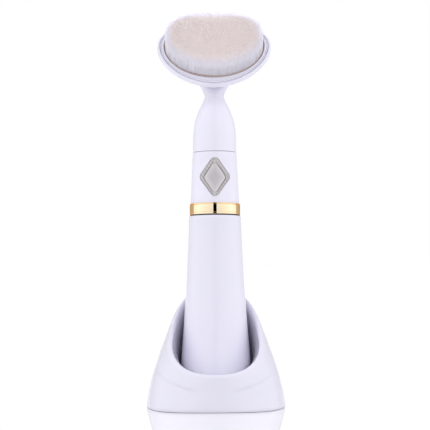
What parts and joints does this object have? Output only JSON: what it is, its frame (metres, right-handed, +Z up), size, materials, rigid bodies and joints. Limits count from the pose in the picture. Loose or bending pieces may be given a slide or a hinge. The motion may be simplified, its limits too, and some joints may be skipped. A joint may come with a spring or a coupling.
{
  "type": "facial cleansing brush with stand",
  "caption": "Battery vibrating facial brush: an oval bristle face on a bottle-shaped handle with a diamond button and a gold band, leaning back in an open-fronted stand.",
  "frame": {"origin": "middle of the flat underside of the stand's non-slip pad, on the table", "axes": "+Z up, -Y towards the side the bristles and the button face, +X to the right seen from behind; the handle leans back towards +Y by 8 degrees"},
  "size_m": [0.0634, 0.0686, 0.1796],
  "materials": {
    "gloss_white_plastic": "glossy",
    "matte_white_plastic": "satin",
    "grey_plastic": "satin",
    "polished_gold": "polished gold plating",
    "copper_brown_plastic": "satin",
    "fine_bristles": "soft fine hair",
    "plated_steel": "plated",
    "brass": "bright",
    "soft_rubber": "matt",
    "black_plastic": "satin",
    "circuit_laminate": "satin",
    "cell_wrapper": "printed sleeve without print",
    "red_insulation": "satin"
  },
  "bodies": {
    "stand": {"stand_shell": "gloss_white_plastic", "stand_cup": "gloss_white_plastic", "stand_base_plate": "gloss_white_plastic", "stand_pad": "soft_rubber", "stand_screw_left": "plated_steel", "stand_screw_right": "plated_steel"},
    "cover": {"battery_cover": "gloss_white_plastic", "battery_sleeve": "matte_white_plastic", "spring_plate": "plated_steel", "battery_spring": "plated_steel", "contact_strip": "plated_steel"},
    "cell": {"battery_cell": "cell_wrapper", "battery_cap": "plated_steel"},
    "handle": {"chassis": "matte_white_plastic", "ring_contact": "brass", "plus_contact": "brass", "spigot_seal": "soft_rubber", "gold_band": "polished_gold", "body_shell": "gloss_white_plastic", "button_frame": "grey_plastic", "circuit_board": "circuit_laminate", "driver_chip": "black_plastic", "capacitor": "plated_steel", "resistor": "black_plastic", "switch_body": "black_plastic", "motor_nose": "gloss_white_plastic", "nose_seal": "soft_rubber", "motor_can": "plated_steel", "motor_end_cap": "black_plastic", "wire_plus": "red_insulation", "wire_minus": "black_plastic"},
    "button": {"power_button": "grey_plastic"},
    "plunger": {"switch_plunger": "black_plastic"},
    "rotor": {"motor_shaft": "plated_steel", "eccentric_weight": "brass"},
    "head": {"head_shell": "gloss_white_plastic", "rim_ring": "gloss_white_plastic", "bristle_plate": "copper_brown_plastic", "bristles": "fine_bristles"}
  },
  "joints": [
    {"name": "lift_out", "type": "slide", "parent": "stand", "child": "cover", "axis": [0, 0, 1], "range_m": [0, 0.075]},
    {"name": "body_pull", "type": "slide", "parent": "cover", "child": "handle", "axis": [0, 0.1392, 0.9903], "range_m": [0, 0.065]},
    {"name": "cell_lift", "type": "slide", "parent": "cover", "child": "cell", "axis": [0, 0.1392, 0.9903], "range_m": [0, 0.052]},
    {"name": "button_press", "type": "slide", "parent": "handle", "child": "button", "axis": [0, 0.9903, -0.1392], "range_m": [0, 0.00045], "stiffness_N_per_m": 600},
    {"name": "plunger_press", "type": "slide", "parent": "handle", "child": "plunger", "axis": [0, 0.9903, -0.1392], "range_m": [0, 0.00027]},
    {"name": "rotor_spin", "type": "hinge", "parent": "handle", "child": "rotor", "pos_m": [0, 0.01798, 0.12681], "axis": [0, 0.1392, 0.9903], "continuous": true},
    {"name": "head_pull", "type": "slide", "parent": "handle", "child": "head", "axis": [0, 0.1392, 0.9903], "range_m": [0, 0.03]}
  ],
  "couplings": [
    {"joint": "cell_lift", "follows": "body_pull", "ratio": 0.8},
    {"joint": "plunger_press", "follows": "button_press", "ratio": 0.6}
  ]
}
